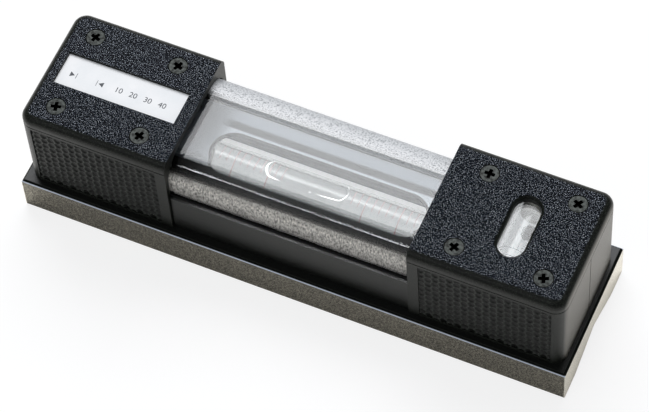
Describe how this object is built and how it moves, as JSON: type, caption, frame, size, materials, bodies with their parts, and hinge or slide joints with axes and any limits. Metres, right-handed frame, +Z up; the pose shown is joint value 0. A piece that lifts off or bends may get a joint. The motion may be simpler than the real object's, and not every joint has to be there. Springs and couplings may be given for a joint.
{
  "type": "precision spirit level",
  "caption": "Small precision block level: vee-grooved steel base, black housings at its ends, a long vial under an arched clear cover and a cross vial under a slot.",
  "frame": {"origin": "middle of the sole, on the surface that the level stands on", "axes": "+X along the level from the label end to the cross-vial end, +Y to the rear, +Z up"},
  "size_m": [0.15, 0.0398, 0.0394],
  "materials": {
    "hardened_steel": "ground and blackened tool steel",
    "black_frame": "fine textured black enamel",
    "black_plastic": "moulded with a fine spark-eroded grain",
    "screw_black": "blackened steel, slightly glossy",
    "screw_steel": "bright zinc",
    "screw_brass": "turned",
    "label_white": "satin white",
    "clear_cover": "clear moulded acrylic",
    "foam_gasket": "closed-cell foam",
    "mask_black": "matte black",
    "cradle_alloy": "satin",
    "cork_pad": "pressed cork",
    "vial_glass": "polished glass tube",
    "plug_cement": "pale sealing cement",
    "spirit": "clear alcohol",
    "bubble": "air",
    "holder_plastic": "pale moulded plastic"
  },
  "bodies": {
    "body": {"base": "hardened_steel", "frame": "black_frame", "frame_screws": "screw_black", "label_shell_front": "black_plastic", "label_shell_rear": "black_plastic", "label_cap": "black_plastic", "label_plate": "label_white", "label_cap_screws": "screw_black", "cross_shell_front": "black_plastic", "cross_shell_rear": "black_plastic", "cross_cap": "black_plastic", "cross_window": "clear_cover", "cross_cap_screws": "screw_black", "clear_cover": "clear_cover", "cover_gaskets": "foam_gasket", "mask_plate": "mask_black", "mask_screws": "screw_steel", "pivot_pin": "screw_steel", "cross_holder": "holder_plastic", "cross_holder_screws": "screw_steel", "cross_vial": "vial_glass", "cross_vial_plugs": "plug_cement", "cross_spirit": "spirit"},
    "adjuster": {"adjusting_screw": "screw_brass", "retaining_ring": "screw_steel"},
    "cradle": {"vial_cradle": "cradle_alloy", "vial_pads": "cork_pad", "main_vial": "vial_glass", "main_vial_plugs": "plug_cement", "main_spirit": "spirit"},
    "main_bubble": {"main_bubble": "bubble"},
    "cross_bubble": {"cross_bubble": "bubble"}
  },
  "joints": [
    {"name": "adjusting_screw_turn", "type": "hinge", "parent": "body", "child": "adjuster", "pos_m": [0.0425, 0, 0.0202], "axis": [0, 0, 1], "range_deg": [-180, 180]},
    {"name": "cradle_tilt", "type": "hinge", "parent": "body", "child": "cradle", "pos_m": [-0.04, 0, 0.016], "axis": [0, 1, 0], "range_deg": [-0.1736, 0.1736]},
    {"name": "main_bubble_slide", "type": "slide", "parent": "cradle", "child": "main_bubble", "axis": [1, 0, 0], "range_m": [-0.017, 0.023]},
    {"name": "cross_bubble_slide", "type": "slide", "parent": "body", "child": "cross_bubble", "axis": [0, 1, 0], "range_m": [-0.004, 0.004]}
  ],
  "couplings": [
    {"joint": "adjusting_screw_turn", "follows": "cradle_tilt", "ratio": 1036.7}
  ]
}
